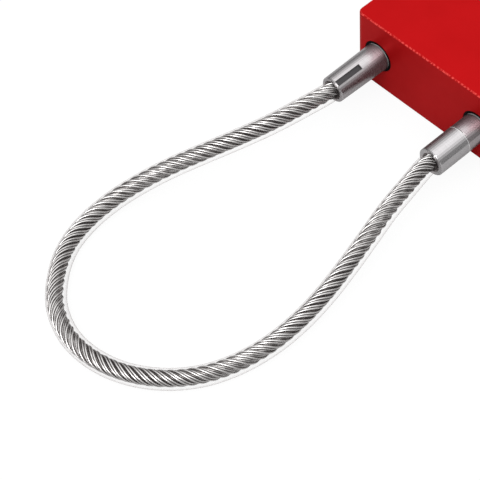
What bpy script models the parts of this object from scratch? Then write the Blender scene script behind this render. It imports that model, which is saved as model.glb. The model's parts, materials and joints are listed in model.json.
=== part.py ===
"""Cable luggage lock: a die-cast body with three code dials and a coated wire-rope loop.

The lock lies on its broad base. X runs across the body, +Y points away from the loop and Z is up.
The origin is the middle of the body's underside. The loop's heel end is fixed in the body, and its
toe end is a plug that pulls out along -Y. The latch is drawn with its nose clear of the plug.
"""

import math

import bmesh
import bpy
from mathutils import Euler, Matrix, Vector

MM = 0.001

# ---------------------------------------------------------------- clearances
FIT = 0.1 * MM          # pieces that seat on or in each other
RUNNING = 0.08 * MM     # a shaft or a plug in the hole that guides it
FREE = 0.3 * MM         # pieces that pass each other
OVERCUT = 1.0 * MM      # how far a cutter runs past the wall that it cuts

# ---------------------------------------------------------------- body
BODY_WIDTH = 30.0 * MM
BODY_LENGTH = 48.0 * MM
BODY_HEIGHT = 13.5 * MM
CORNER_RADIUS = 1.1 * MM
CORNER_STEPS = 4
EDGE_CHAMFER = 0.2 * MM
SIDE_WALL = 1.4 * MM
TOP_WALL = 1.6 * MM
REAR_WALL = 2.4 * MM
FRONT_BLOCK = 12.0 * MM     # solid nose that holds both legs
CORNER_POST = 3.4 * MM      # rear posts that take the base screws
BASE_THICKNESS = 1.1 * MM
BASE_LIP = 0.9 * MM         # wall left round the base plate

# ---------------------------------------------------------------- legs and cable
LEG_PITCH = 20.8 * MM
LEG_HEIGHT = 6.65 * MM
LEG_RADIUS = 2.35 * MM
LEG_REACH = 10.0 * MM        # from the body's face to each ferrule's mouth
HEEL_MOUTH_RADIUS = 2.2 * MM
HEEL_SHANK = 10.0 * MM
SLOT_LENGTH = 5.1 * MM
SLOT_WIDTH = 0.95 * MM
SLOT_DEPTH = 0.3 * MM        # its floor stays outside the cable's seat
SLOT_TURN = math.radians(24)    # from straight up towards the toe leg
TOE_SLEEVE_RADIUS = 2.38 * MM
TOE_SLEEVE_LENGTH = 6.1 * MM
TOE_SEAM = 0.02 * MM            # between the sleeve and the plug
TOE_NECK_RADIUS = 1.4 * MM
TOE_NECK_LENGTH = 1.6 * MM
PLUG_TIP = 1.2 * MM             # plug beyond its latch groove
PLUG_CHAMFER = 0.5 * MM
GROOVE_DEPTH = 1.1 * MM
BUSH_WALL = 0.32 * MM
BUSH_LENGTH = 3.0 * MM
MOUTH_LIP = 0.15 * MM
CABLE_RADIUS = 1.6 * MM
CABLE_SEAT = 1.5 * MM           # cable inside each ferrule's mouth
CABLE_GAP = 0.06 * MM           # ring of space round the cable there
CABLE_LEAD = 1.2 * MM           # straight cable in front of each mouth
CABLE_STEP = 3.5 * MM
HEEL_PIN_RADIUS = 0.8 * MM
HEEL_PIN_SETBACK = 6.5 * MM     # behind the body's face
HEEL_PIN_RISE = 1.4 * MM        # above the ferrule
PIN_EDGE = 0.15 * MM

# ---------------------------------------------------------------- dials
DIAL_COUNT = 3
DIAL_NUMBERS = 10
DIAL_WIDTH = 4.4 * MM
DIAL_SPACE = 1.2 * MM           # between two dials
DIAL_PROUD = 0.7 * MM
DIAL_CHAMFER = 0.35 * MM
NOTCH_WIDTH = 0.8 * MM
NOTCH_DEPTH = 0.35 * MM
WINDOW_GAP = 0.25 * MM
SLEEVE_RADIUS = 3.3 * MM
SLEEVE_BORE = 2.6 * MM
WEB_THICKNESS = 0.7 * MM
WEB_BORE = 1.75 * MM
SPINDLE_RADIUS = 1.5 * MM
SPINDLE_EDGE = 0.2 * MM
LUG_RADIUS = 2.4 * MM
LUG_WIDTH = 0.9 * MM
LUG_THICKNESS = 0.7 * MM
CRADLE_RIB = 0.8 * MM
CRADLE_END = 1.2 * MM
CRADLE_RAIL = 1.0 * MM
CRADLE_RAIL_HEIGHT = 3.0 * MM
LEAF_THICKNESS = 0.3 * MM
LEAF_WIDTH = 2.4 * MM
LEAF_BEND = 1.2 * MM            # below the dial's axle, where the leaf starts to bend
LEAF_TIP = 0.8 * MM             # above the axle

# ---------------------------------------------------------------- latch and slider
LATCH_TRAVEL = 2.0 * MM
LATCH_THICKNESS = 1.2 * MM
LATCH_RAIL = 1.6 * MM
LATCH_REAR_RAIL = 2.0 * MM
LATCH_BITE = 1.0 * MM           # nose inside the plug's surface when locked
NOSE_CORNER = 0.3 * MM
STOP_RIB_INSET = 3.0 * MM       # from the latch's side bar
STOP_RIB_THICKNESS = 0.8 * MM
BOW_SPACE = 1.6 * MM            # from the latch's rear rail to the middle of the stop rib
BOW_REACH = 2.6 * MM            # half the bowed leaf
BOW_FLAT = 1.2 * MM             # half its flat middle
EAR_WIDTH = 3.6 * MM
BUTTON_LENGTH = 6.5 * MM
BUTTON_WIDTH = 5.0 * MM
BUTTON_HEIGHT = 1.2 * MM
BUTTON_CORNER = 0.9 * MM
BUTTON_CHAMFER = 0.25 * MM
BUTTON_SKIN = 0.5 * MM          # plastic over the stem
BUTTON_GROOVES = 4
GROOVE_PITCH = 1.2 * MM
GROOVE_WIDTH = 0.48 * MM
GRIP_DEPTH = 0.3 * MM
STEM_LENGTH = 2.4 * MM
STEM_WIDTH = 2.0 * MM
SMALL_SCREW_RADIUS = 0.45 * MM
SMALL_SCREW_HEAD = 1.0 * MM
SMALL_HEAD_HEIGHT = 0.7 * MM
SMALL_SCREW_SINK = 0.5 * MM
THREAD_DEPTH = 3.0 * MM

# ---------------------------------------------------------------- key cylinder and reset
KEY_X = 4.5 * MM
BARREL_RADIUS = 3.6 * MM
BARREL_WALL = 1.02 * MM
BOSS_WALL = 0.9 * MM
KEY_EDGE = 0.15 * MM
BARREL_LENGTH = 8.8 * MM
KEY_TAIL_RADIUS = 1.4 * MM
KEYWAY_WIDTH = 0.8 * MM
KEYWAY_HEIGHT = 3.2 * MM
KEYWAY_DEPTH = 6.0 * MM
CAM_THICKNESS = 1.0 * MM
CAM_HUB = 2.4 * MM
CAM_REACH = 4.2 * MM
CAM_WIDTH = 2.0 * MM
CLIP_RIM = 0.7 * MM
CLIP_MOUTH = 1.0 * MM
RESET_X = -6.0 * MM
RESET_RADIUS = 1.1 * MM
RESET_FLANGE = 1.7 * MM
RESET_STEM = 0.6 * MM
RESET_FLANGE_HEIGHT = 0.7 * MM
RESET_SETBACK = 1.0 * MM        # behind the middle of its space
RESET_TRAVEL = 1.2 * MM
SPRING_RADIUS = 1.15 * MM
SPRING_WIRE = 0.18 * MM
SPRING_HEIGHT = 3.6 * MM
SPRING_TURNS = 5
SPRING_STEPS = 12               # points in a turn

# ---------------------------------------------------------------- base screws
SCREW_RADIUS = 0.8 * MM
SCREW_HEAD = 1.5 * MM
SCREW_HEAD_HEIGHT = 0.75 * MM
SCREW_LENGTH = 5.0 * MM
SCREW_POINT = 0.4 * MM
DRIVER_LENGTH = 1.8 * MM
DRIVER_WIDTH = 0.4 * MM
DRIVER_DEPTH = 0.45 * MM
FRONT_SCREW_X = 5.0 * MM

FINE = 40       # sides of the larger round pieces
COARSE = 20     # sides of the small ones
TINY = 12       # sides of the smallest screws and their holes
KNOT_STEPS = 12
MERGE = 0.01 * MM
LEVEL = 0.0001 * MM

# The loop's centreline between the mouths, in millimetres: across the body, in front of the mouths and
# up. It leaves both ferrules straight, sinks under its own weight and lies on the surface at its far end.
CABLE_ROUTE = [
    (-11.2, 5.4, 6.43), (-12.3, 10.8, 6.23), (-14.0, 15.9, 5.68), (-16.1, 21.0, 4.88),
    (-18.2, 25.9, 3.95), (-19.9, 31.0, 3.02), (-20.9, 36.3, 2.22), (-20.7, 41.8, 1.76),
    (-19.1, 46.9, 1.65), (-15.9, 51.4, 1.65), (-11.8, 54.9, 1.65), (-6.5, 56.9, 1.65),
    (-1.0, 56.9, 1.65), (4.2, 55.2, 1.65), (8.7, 52.0, 1.65), (12.0, 47.8, 1.66),
    (14.1, 42.7, 1.74), (15.2, 37.3, 2.1), (15.5, 31.9, 2.84), (15.2, 26.6, 3.85),
    (14.4, 21.4, 4.81), (13.3, 16.0, 5.67), (12.1, 10.8, 6.23), (11.1, 5.4, 6.43),
]

# ---------------------------------------------------------------- places that follow from the sizes
FRONT_Y = -BODY_LENGTH / 2
REAR_Y = BODY_LENGTH / 2
HEEL_X = -LEG_PITCH / 2
TOE_X = LEG_PITCH / 2
CAVITY_X = BODY_WIDTH / 2 - SIDE_WALL
CAVITY_FRONT = FRONT_Y + FRONT_BLOCK
CAVITY_REAR = REAR_Y - REAR_WALL
CAVITY_TOP = BODY_HEIGHT - TOP_WALL
INNER_FLOOR = BASE_THICKNESS + FIT
DIAL_RADIUS = (BODY_HEIGHT + DIAL_PROUD - INNER_FLOOR - 2 * FREE) / 2
DIAL_Z = BODY_HEIGHT + DIAL_PROUD - DIAL_RADIUS
NOSE_Y = CAVITY_FRONT + 2 * FREE + LATCH_RAIL / 2
PLUG_TIP_Y = NOSE_Y + LATCH_RAIL / 2 + FREE + PLUG_TIP
CRADLE_FRONT = PLUG_TIP_Y + 2 * FREE
DIAL_Y = CRADLE_FRONT + CRADLE_RAIL + FREE + DIAL_RADIUS
DIAL_PITCH = DIAL_WIDTH + DIAL_SPACE
SLEEVE_LENGTH = DIAL_PITCH - FREE
DIAL_XS = [(i - (DIAL_COUNT - 1) / 2) * DIAL_PITCH for i in range(DIAL_COUNT)]
CRADLE_X = DIAL_XS[-1] + DIAL_WIDTH / 2 + FREE + CRADLE_END
LEAF_Y = DIAL_Y + DIAL_RADIUS + FREE + LEAF_THICKNESS / 2
CRADLE_REAR = LEAF_Y + LEAF_THICKNESS / 2 + FIT + CRADLE_RAIL
CRADLE_BASE = INNER_FLOOR + FREE
NOSE_X = TOE_X - LEG_RADIUS + LATCH_BITE - LATCH_TRAVEL
LATCH_LEFT = -CRADLE_X - FREE - LATCH_TRAVEL - LATCH_THICKNESS
LATCH_LOW = LEG_HEIGHT - LATCH_THICKNESS / 2
LATCH_HIGH = LEG_HEIGHT + LATCH_THICKNESS / 2
REAR_RAIL_Y = CRADLE_REAR + 2 * FREE + LATCH_REAR_RAIL / 2
SLIDER_X = -LATCH_TRAVEL / 2
STOP_RIB_Y = REAR_RAIL_Y + LATCH_REAR_RAIL / 2 + BOW_SPACE
STOP_RIB_LEFT = LATCH_LEFT + STOP_RIB_INSET
BARREL_INNER = REAR_Y - FIT - BARREL_LENGTH
KEY_PLUG_RADIUS = BARREL_RADIUS - BARREL_WALL - RUNNING
RESET_Y = (STOP_RIB_Y + CAVITY_REAR) / 2 + RESET_SETBACK
KEY_Z = LEG_HEIGHT + FREE
MOUTH_Y = FRONT_Y - LEG_REACH

ALONG_X = Euler((0, math.radians(90), 0))
ALONG_Y = Euler((math.radians(-90), 0, 0))
UPRIGHT = Euler((0, 0, 0))


# ---------------------------------------------------------------- tools
def clear_scene():
    for thing in list(bpy.data.objects):
        bpy.data.objects.remove(thing)


def collection(name):
    group = bpy.data.collections.new(name)
    bpy.context.scene.collection.children.link(group)
    return group


def look(name, colour, roughness, metallic):
    material = bpy.data.materials.new(name)
    material.use_nodes = True
    shader = material.node_tree.nodes["Principled BSDF"]
    shader.inputs["Base Color"].default_value = (*colour, 1)
    shader.inputs["Roughness"].default_value = roughness
    shader.inputs["Metallic"].default_value = metallic
    return material


def place(name, data, material, origin=(0, 0, 0), turn=UPRIGHT):
    """Adds an object to the lock, or to the cutters if it has no material."""
    thing = bpy.data.objects.new(name, data)
    thing.location = origin
    thing.rotation_euler = turn
    if material is None:
        CUTTERS.objects.link(thing)
        thing.hide_render = True
        thing.display_type = "WIRE"
    else:
        LOCK.objects.link(thing)
        data.materials.append(material)
    return thing


def block(name, low, high, material=None, origin=(0, 0, 0), corner=0, chamfer=0, turn=UPRIGHT):
    """A box between two corners. corner rounds its upright edges, and chamfer breaks the level ones."""
    low, high = Vector(low) - Vector(origin), Vector(high) - Vector(origin)
    shape = bmesh.new()
    bmesh.ops.create_cube(shape, size=1)
    size = high - low
    to_size = Matrix.Translation((low + high) / 2) @ Matrix.Diagonal((*size, 1))
    bmesh.ops.transform(shape, matrix=to_size, verts=shape.verts)
    if corner:
        upright = [e for e in shape.edges if abs(e.verts[0].co.z - e.verts[1].co.z) > size.z / 2]
        bmesh.ops.bevel(shape, geom=upright, offset=corner, segments=CORNER_STEPS, profile=0.5,
                        affect="EDGES")
    if chamfer:
        level = [
            e for e in shape.edges
            if abs(e.verts[0].co.z - e.verts[1].co.z) < LEVEL and len(e.link_faces) == 2
            and abs(e.link_faces[0].normal.z) + abs(e.link_faces[1].normal.z) > 0.5
        ]
        bmesh.ops.bevel(shape, geom=level, offset=chamfer, segments=1, affect="EDGES")
    mesh = bpy.data.meshes.new(name)
    shape.to_mesh(mesh)
    shape.free()
    return place(name, mesh, material, origin, turn)


def turned(name, profile, material=None, origin=(0, 0, 0), turn=UPRIGHT, sides=COARSE, ring=False):
    """A lathe shape. The profile is (radius, height) pairs down its outer side, and a ring's closes."""
    mesh = bpy.data.meshes.new(name)
    shape = bmesh.new()
    verts = [shape.verts.new((radius, 0, height)) for radius, height in profile]
    pairs = list(zip(verts, verts[1:])) + ([(verts[-1], verts[0])] if ring else [])
    for first, second in pairs:
        shape.edges.new((first, second))
    shape.to_mesh(mesh)
    shape.free()
    thing = place(name, mesh, material, origin, turn)
    screw = thing.modifiers.new("Turn", "SCREW")
    screw.steps = sides
    screw.render_steps = sides
    screw.use_merge_vertices = True
    screw.merge_threshold = MERGE
    return thing


def rod(name, radius, low, high, material=None, origin=(0, 0, 0), turn=UPRIGHT, sides=COARSE, edge=0):
    """A cylinder from low to high along its own axis, with chamfered ends if edge is set."""
    if edge:
        profile = [(0, high), (radius - edge, high), (radius, high - edge),
                   (radius, low + edge), (radius - edge, low), (0, low)]
    else:
        profile = [(0, high), (radius, high), (radius, low), (0, low)]
    return turned(name, profile, material, origin, turn, sides)


def washer(name, outer, inner, low, high, material=None, origin=(0, 0, 0), turn=UPRIGHT, sides=COARSE):
    profile = [(outer, high), (outer, low), (inner, low), (inner, high)]
    return turned(name, profile, material, origin, turn, sides, ring=True)


def boolean(target, tool, operation):
    step = target.modifiers.new(tool.name, "BOOLEAN")
    step.operation = operation
    step.solver = "EXACT"
    step.object = tool
    return target


def cut(target, *tools):
    for tool in tools:
        boolean(target, tool, "DIFFERENCE")
    return target


def fuse(target, *tools):
    for tool in tools:
        boolean(target, tool, "UNION")
    return target


def leaf(name, path, thickness, width, material, origin=(0, 0, 0), turn=UPRIGHT):
    """A strip of the given thickness along a flat path, width deep."""
    path = [Vector(point) for point in path]
    sides = []
    for i, point in enumerate(path):
        ahead = path[min(i + 1, len(path) - 1)] - path[max(i - 1, 0)]
        across = Vector((-ahead.y, ahead.x)).normalized() * thickness / 2
        sides.append((point + across, point - across))
    outline = [left for left, _ in sides] + [right for _, right in reversed(sides)]
    curve = bpy.data.curves.new(name, "CURVE")
    curve.dimensions = "2D"
    curve.fill_mode = "BOTH"
    curve.extrude = width / 2
    spline = curve.splines.new("POLY")
    spline.points.add(len(outline) - 1)
    for point, spot in zip(spline.points, outline):
        point.co = (spot.x, spot.y, 0, 1)
    spline.use_cyclic_u = True
    return place(name, curve, material, origin, turn)


def tube(name, points, radius, material, origin=(0, 0, 0), resolution=2):
    """A round bar along points, with flat ends."""
    curve = bpy.data.curves.new(name, "CURVE")
    curve.dimensions = "3D"
    curve.bevel_depth = radius
    curve.bevel_resolution = resolution
    curve.use_fill_caps = True
    spline = curve.splines.new("POLY")
    spline.points.add(len(points) - 1)
    for point, spot in zip(spline.points, points):
        point.co = (*spot, 1)
    return place(name, curve, material, origin)


def smooth_route(route, spacing):
    """Points on a smooth curve through the route, about one spacing apart."""
    knots = [Vector(point) for point in route]
    ends = [2 * knots[0] - knots[1]] + knots + [2 * knots[-1] - knots[-2]]
    fine = []
    for before, start, stop, after in zip(ends, ends[1:], ends[2:], ends[3:]):
        for k in range(KNOT_STEPS):
            t = k / KNOT_STEPS
            fine.append(0.5 * (2 * start + (stop - before) * t
                               + (2 * before - 5 * start + 4 * stop - after) * t ** 2
                               + (3 * start - before - 3 * stop + after) * t ** 3))
    fine.append(knots[-1])
    run = [0.0]
    for first, second in zip(fine, fine[1:]):
        run.append(run[-1] + (second - first).length)
    count = max(2, round(run[-1] / spacing))
    points, k = [], 0
    for i in range(count + 1):
        want = run[-1] * i / count
        while k < len(run) - 2 and run[k + 1] < want:
            k += 1
        share = (want - run[k]) / (run[k + 1] - run[k])
        points.append(fine[k].lerp(fine[k + 1], min(max(share, 0), 1)))
    return points


def shade(angle_deg=35):
    """Round faces are shaded smooth and edges stay crisp."""
    for thing in LOCK.objects:
        if thing.type == "MESH":
            thing.data.shade_smooth()
            thing.data.set_sharp_from_angle(angle=math.radians(angle_deg))


# ---------------------------------------------------------------- body
def base_screw_places():
    rear_x = BODY_WIDTH / 2 - SIDE_WALL - CORNER_POST / 2
    rear_y = CAVITY_REAR - CORNER_POST / 2
    front_y = FRONT_Y + FRONT_BLOCK / 2
    return [(-FRONT_SCREW_X, front_y), (FRONT_SCREW_X, front_y), (-rear_x, rear_y), (rear_x, rear_y)]


def make_body_shell():
    shell = block("body_shell", (-BODY_WIDTH / 2, FRONT_Y, 0), (BODY_WIDTH / 2, REAR_Y, BODY_HEIGHT),
                  RED, corner=CORNER_RADIUS, chamfer=EDGE_CHAMFER)
    seat_x, seat_y = BODY_WIDTH / 2 - BASE_LIP, BODY_LENGTH / 2 - BASE_LIP
    cut(shell, block("base_seat", (-seat_x, -seat_y, -OVERCUT), (seat_x, seat_y, INNER_FLOOR)))
    cut(shell, block("cavity", (-CAVITY_X, CAVITY_FRONT, 0),
                     (CAVITY_X, CAVITY_REAR - CORNER_POST, CAVITY_TOP)))
    rear_x = CAVITY_X - CORNER_POST
    cut(shell, block("rear_cavity", (-rear_x, CAVITY_REAR - CORNER_POST - OVERCUT, 0),
                     (rear_x, CAVITY_REAR, CAVITY_TOP)))
    add_inner_ribs(shell)
    add_leg_bores(shell)
    add_top_openings(shell)
    cut(shell, rod("barrel_bore", BARREL_RADIUS + FIT, BARREL_INNER - OVERCUT, REAR_Y + OVERCUT,
                   origin=(KEY_X, 0, KEY_Z), turn=ALONG_Y, sides=FINE))
    for i, (x, y) in enumerate(base_screw_places()):
        cut(shell, rod(f"screw_hole_{i + 1}", SCREW_RADIUS + FIT, 0, SCREW_LENGTH + FREE, origin=(x, y, 0)))
    return shell


def add_inner_ribs(shell):
    """The stop rib behind the latch, the boss round the key barrel and the spring's seat."""
    root = CAVITY_TOP + OVERCUT / 2
    half = STOP_RIB_THICKNESS / 2
    fuse(shell, block("stop_rib", (STOP_RIB_LEFT, STOP_RIB_Y - half, LATCH_LOW - FREE),
                      (SLIDER_X, STOP_RIB_Y + half, root)))
    boss = BARREL_RADIUS + BOSS_WALL
    fuse(shell, block("barrel_boss", (KEY_X - boss, BARREL_INNER + FREE, INNER_FLOOR + FREE),
                      (KEY_X + boss, CAVITY_REAR + OVERCUT, root)))
    seat = INNER_FLOOR + RESET_TRAVEL + SPRING_HEIGHT + FREE
    fuse(shell, rod("spring_seat", RESET_FLANGE, seat, root, origin=(RESET_X, RESET_Y, 0)))


def add_leg_bores(shell):
    bore = LEG_RADIUS + FIT
    bush = LEG_RADIUS + RUNNING + BUSH_WALL + FIT / 2
    legs = [("heel", HEEL_X, FRONT_Y + HEEL_SHANK + FREE), ("toe", TOE_X, CAVITY_FRONT + OVERCUT)]
    for name, x, stop in legs:
        cut(shell, rod(f"{name}_bore", bore, FRONT_Y - OVERCUT, stop, origin=(x, 0, LEG_HEIGHT),
                       turn=ALONG_Y, sides=FINE))
        cut(shell, rod(f"{name}_bush_seat", bush, FRONT_Y - OVERCUT, FRONT_Y + BUSH_LENGTH + FIT,
                       origin=(x, 0, LEG_HEIGHT), turn=ALONG_Y, sides=FINE))
    top = LEG_HEIGHT + LEG_RADIUS + HEEL_PIN_RISE + 2 * FIT
    cut(shell, rod("heel_pin_hole", HEEL_PIN_RADIUS + FIT / 2, 0, top,
                   origin=(HEEL_X, FRONT_Y + HEEL_PIN_SETBACK, 0)))


def add_top_openings(shell):
    """A window over each dial, and the slider's slot."""
    inner = CAVITY_TOP - DIAL_Z
    window_y = math.sqrt(DIAL_RADIUS ** 2 - inner ** 2) + WINDOW_GAP
    for i, x in enumerate(DIAL_XS):
        half = DIAL_WIDTH / 2 + WINDOW_GAP
        cut(shell, block(f"window_{i + 1}", (x - half, DIAL_Y - window_y, CAVITY_TOP - OVERCUT),
                         (x + half, DIAL_Y + window_y, BODY_HEIGHT + OVERCUT)))
    slot_x = (STEM_LENGTH + LATCH_TRAVEL) / 2 + FREE
    slot_y = STEM_WIDTH / 2 + FIT
    cut(shell, block("slider_slot", (-slot_x, REAR_RAIL_Y - slot_y, CAVITY_TOP - OVERCUT),
                     (slot_x, REAR_RAIL_Y + slot_y, BODY_HEIGHT + OVERCUT)))


def make_base_plate():
    half_x = BODY_WIDTH / 2 - BASE_LIP - FIT
    half_y = BODY_LENGTH / 2 - BASE_LIP - FIT
    plate = block("base_plate", (-half_x, -half_y, 0), (half_x, half_y, BASE_THICKNESS), DARK_RED)
    for i, (x, y) in enumerate(base_screw_places()):
        sink = [(0, BASE_THICKNESS + OVERCUT), (SCREW_RADIUS + FIT, BASE_THICKNESS + OVERCUT),
                (SCREW_RADIUS + FIT, SCREW_HEAD_HEIGHT + FIT), (SCREW_HEAD + FIT, FIT),
                (SCREW_HEAD + FIT, -OVERCUT), (0, -OVERCUT)]
        cut(plate, turned(f"screw_sink_{i + 1}", sink, origin=(x, y, 0)))
    cut(plate, rod("reset_hole", RESET_RADIUS + RUNNING, -OVERCUT, BASE_THICKNESS + OVERCUT,
                   origin=(RESET_X, RESET_Y, 0)))
    return plate


def make_cover_screws():
    long, short = DRIVER_LENGTH / 2, DRIVER_WIDTH / 2
    for i, (x, y) in enumerate(base_screw_places()):
        profile = [(0, SCREW_LENGTH), (SCREW_RADIUS - SCREW_POINT, SCREW_LENGTH),
                   (SCREW_RADIUS, SCREW_LENGTH - SCREW_POINT), (SCREW_RADIUS, SCREW_HEAD_HEIGHT),
                   (SCREW_HEAD, FIT), (0, FIT)]
        screw = turned(f"cover_screw_{i + 1}", profile, STEEL, origin=(x, y, 0))
        for k, (half_x, half_y) in enumerate([(long, short), (short, long)]):
            cut(screw, block(f"driver_slot_{i + 1}_{k + 1}", (x - half_x, y - half_y, -OVERCUT),
                             (x + half_x, y + half_y, DRIVER_DEPTH)))


# ---------------------------------------------------------------- legs
def make_bushes():
    inner = LEG_RADIUS + RUNNING
    for name, x in (("heel_bush", HEEL_X), ("toe_bush", TOE_X)):
        washer(name, inner + BUSH_WALL, inner, FRONT_Y + FIT / 2, FRONT_Y + BUSH_LENGTH, BLACK,
               origin=(x, 0, LEG_HEIGHT), turn=ALONG_Y, sides=FINE)


def make_heel_ferrule():
    seat = CABLE_RADIUS + CABLE_GAP
    back = MOUTH_Y + CABLE_SEAT + FREE
    profile = [(0, FRONT_Y + HEEL_SHANK), (LEG_RADIUS - FREE, FRONT_Y + HEEL_SHANK),
               (LEG_RADIUS, FRONT_Y + HEEL_SHANK - FREE), (LEG_RADIUS, FRONT_Y),
               (HEEL_MOUTH_RADIUS, MOUTH_Y + MOUTH_LIP), (HEEL_MOUTH_RADIUS - MOUTH_LIP, MOUTH_Y),
               (seat, MOUTH_Y), (seat, back), (0, back)]
    ferrule = turned("heel_ferrule", profile, STEEL, origin=(HEEL_X, 0, LEG_HEIGHT), turn=ALONG_Y,
                     sides=FINE)
    start = MOUTH_Y + MOUTH_LIP
    slot = block("milled_slot", (-SLOT_WIDTH / 2, start, HEEL_MOUTH_RADIUS - SLOT_DEPTH),
                 (SLOT_WIDTH / 2, start + SLOT_LENGTH, LEG_RADIUS + OVERCUT), turn=Euler((0, SLOT_TURN, 0)))
    slot.location = (HEEL_X, 0, LEG_HEIGHT)
    hole = rod("heel_cross_hole", HEEL_PIN_RADIUS + FIT / 2, 0, BODY_HEIGHT,
               origin=(HEEL_X, FRONT_Y + HEEL_PIN_SETBACK, 0))
    cut(ferrule, slot, hole)
    rod("heel_pin", HEEL_PIN_RADIUS, INNER_FLOOR + FIT, LEG_HEIGHT + LEG_RADIUS + HEEL_PIN_RISE, STEEL,
        origin=(HEEL_X, FRONT_Y + HEEL_PIN_SETBACK, 0), edge=PIN_EDGE)


def make_toe():
    shoulder = MOUTH_Y + TOE_SLEEVE_LENGTH
    seat = CABLE_RADIUS + CABLE_GAP
    back = MOUTH_Y + CABLE_SEAT + FREE
    neck_hole = TOE_NECK_RADIUS + FIT
    deep = shoulder - TOE_NECK_LENGTH - 2 * FIT
    rim = TOE_SLEEVE_RADIUS - MOUTH_LIP
    outer = [(0, shoulder), (TOE_SLEEVE_RADIUS, shoulder), (TOE_SLEEVE_RADIUS, MOUTH_Y + MOUTH_LIP),
             (rim, MOUTH_Y), (seat, MOUTH_Y), (seat, back), (0, back)]
    sleeve = turned("toe_ferrule", outer, STEEL, origin=(TOE_X, 0, LEG_HEIGHT), turn=ALONG_Y, sides=FINE)
    cut(sleeve, rod("neck_hole", neck_hole, deep, shoulder + OVERCUT, origin=(TOE_X, 0, LEG_HEIGHT),
                    turn=ALONG_Y))
    groove = LEG_RADIUS - GROOVE_DEPTH
    groove_rear = NOSE_Y + LATCH_RAIL / 2 + FREE
    groove_front = NOSE_Y - LATCH_RAIL / 2 - FREE
    front = shoulder + TOE_SEAM
    plug = [(0, PLUG_TIP_Y), (LEG_RADIUS - PLUG_CHAMFER, PLUG_TIP_Y),
            (LEG_RADIUS, PLUG_TIP_Y - PLUG_CHAMFER), (LEG_RADIUS, groove_rear), (groove, groove_rear),
            (groove, groove_front), (LEG_RADIUS, groove_front), (LEG_RADIUS, front + MOUTH_LIP),
            (LEG_RADIUS - MOUTH_LIP, front), (TOE_NECK_RADIUS, front),
            (TOE_NECK_RADIUS, shoulder - TOE_NECK_LENGTH), (0, shoulder - TOE_NECK_LENGTH)]
    turned("toe_plug", plug, STEEL, origin=(TOE_X, 0, LEG_HEIGHT), turn=ALONG_Y, sides=FINE)


def make_cable():
    inside, outside = MOUTH_Y + CABLE_SEAT, MOUTH_Y - CABLE_LEAD
    route = [(HEEL_X, y, LEG_HEIGHT) for y in (inside, MOUTH_Y, outside)]
    route += [(x * MM, MOUTH_Y - ahead * MM, up * MM) for x, ahead, up in CABLE_ROUTE]
    route += [(TOE_X, y, LEG_HEIGHT) for y in (outside, MOUTH_Y, inside)]
    tube("cable", smooth_route(route, CABLE_STEP), CABLE_RADIUS, CLEAR)


# ---------------------------------------------------------------- dials
def make_dials():
    edge = DIAL_CHAMFER
    half = DIAL_WIDTH / 2
    profile = [(DIAL_RADIUS - edge, half), (DIAL_RADIUS, half - edge), (DIAL_RADIUS, edge - half),
               (DIAL_RADIUS - edge, -half), (SLEEVE_RADIUS + FIT, -half), (SLEEVE_RADIUS + FIT, half)]
    for i, x in enumerate(DIAL_XS):
        spot = (x, DIAL_Y, DIAL_Z)
        dial = turned(f"dial_{i + 1}", profile, DIAL, origin=spot, turn=ALONG_X, sides=FINE, ring=True)
        cut(dial, notch_cutter(f"dial_notches_{i + 1}", spot))
        make_code_sleeve(i, spot)


def notch_cutter(name, spot):
    """Ten bars round the dial, one between each two numbers."""
    shape = bmesh.new()
    for k in range(DIAL_NUMBERS):
        angle = 2 * math.pi * (k + 0.5) / DIAL_NUMBERS
        size = Matrix.Diagonal((DIAL_WIDTH + 2 * OVERCUT, NOTCH_WIDTH, 2 * NOTCH_DEPTH, 1))
        out = Matrix.Rotation(angle, 4, "X") @ Matrix.Translation((0, 0, DIAL_RADIUS)) @ size
        bmesh.ops.create_cube(shape, size=1, matrix=out)
    mesh = bpy.data.meshes.new(name)
    shape.to_mesh(mesh)
    shape.free()
    return place(name, mesh, None, spot)


def make_code_sleeve(i, spot):
    half, web = SLEEVE_LENGTH / 2, WEB_THICKNESS / 2
    profile = [(SLEEVE_RADIUS, half), (SLEEVE_RADIUS, -half), (SLEEVE_BORE, -half), (SLEEVE_BORE, -web),
               (WEB_BORE, -web), (WEB_BORE, web), (SLEEVE_BORE, web), (SLEEVE_BORE, half)]
    sleeve = turned(f"code_sleeve_{i + 1}", profile, BRASS, origin=spot, turn=ALONG_X, ring=True)
    gate = LUG_WIDTH / 2 + FREE / 2
    x, y, z = spot
    cut(sleeve, block(f"gate_{i + 1}", (x - 2 * web, y - gate, z),
                      (x + 2 * web, y + gate, z + LUG_RADIUS + FIT)))


def make_spindle():
    left = LATCH_LEFT + LATCH_THICKNESS + FIT
    right = CRADLE_X + 2 * FREE
    spot = (0, DIAL_Y, DIAL_Z)
    spindle = rod("spindle", SPINDLE_RADIUS, left, right, STEEL, origin=spot, turn=ALONG_X,
                  edge=SPINDLE_EDGE)
    for i, x in enumerate(DIAL_XS):
        middle = x - LATCH_TRAVEL / 2
        fuse(spindle, block(f"lug_{i + 1}", (middle - LUG_THICKNESS / 2, DIAL_Y - LUG_WIDTH / 2, DIAL_Z),
                            (middle + LUG_THICKNESS / 2, DIAL_Y + LUG_WIDTH / 2, DIAL_Z + LUG_RADIUS)))
    cut(spindle, rod("spindle_thread", SMALL_SCREW_RADIUS + FIT / 2, left - OVERCUT, left + THREAD_DEPTH,
                     origin=spot, turn=ALONG_X, sides=TINY))
    end = left + THREAD_DEPTH - 2 * FIT
    screw = [(0, end), (SMALL_SCREW_RADIUS, end), (SMALL_SCREW_RADIUS, LATCH_LEFT + SMALL_SCREW_SINK),
             (2 * SMALL_SCREW_RADIUS, LATCH_LEFT), (0, LATCH_LEFT)]
    turned("spindle_screw", screw, STEEL, origin=spot, turn=ALONG_X, sides=TINY)


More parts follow.
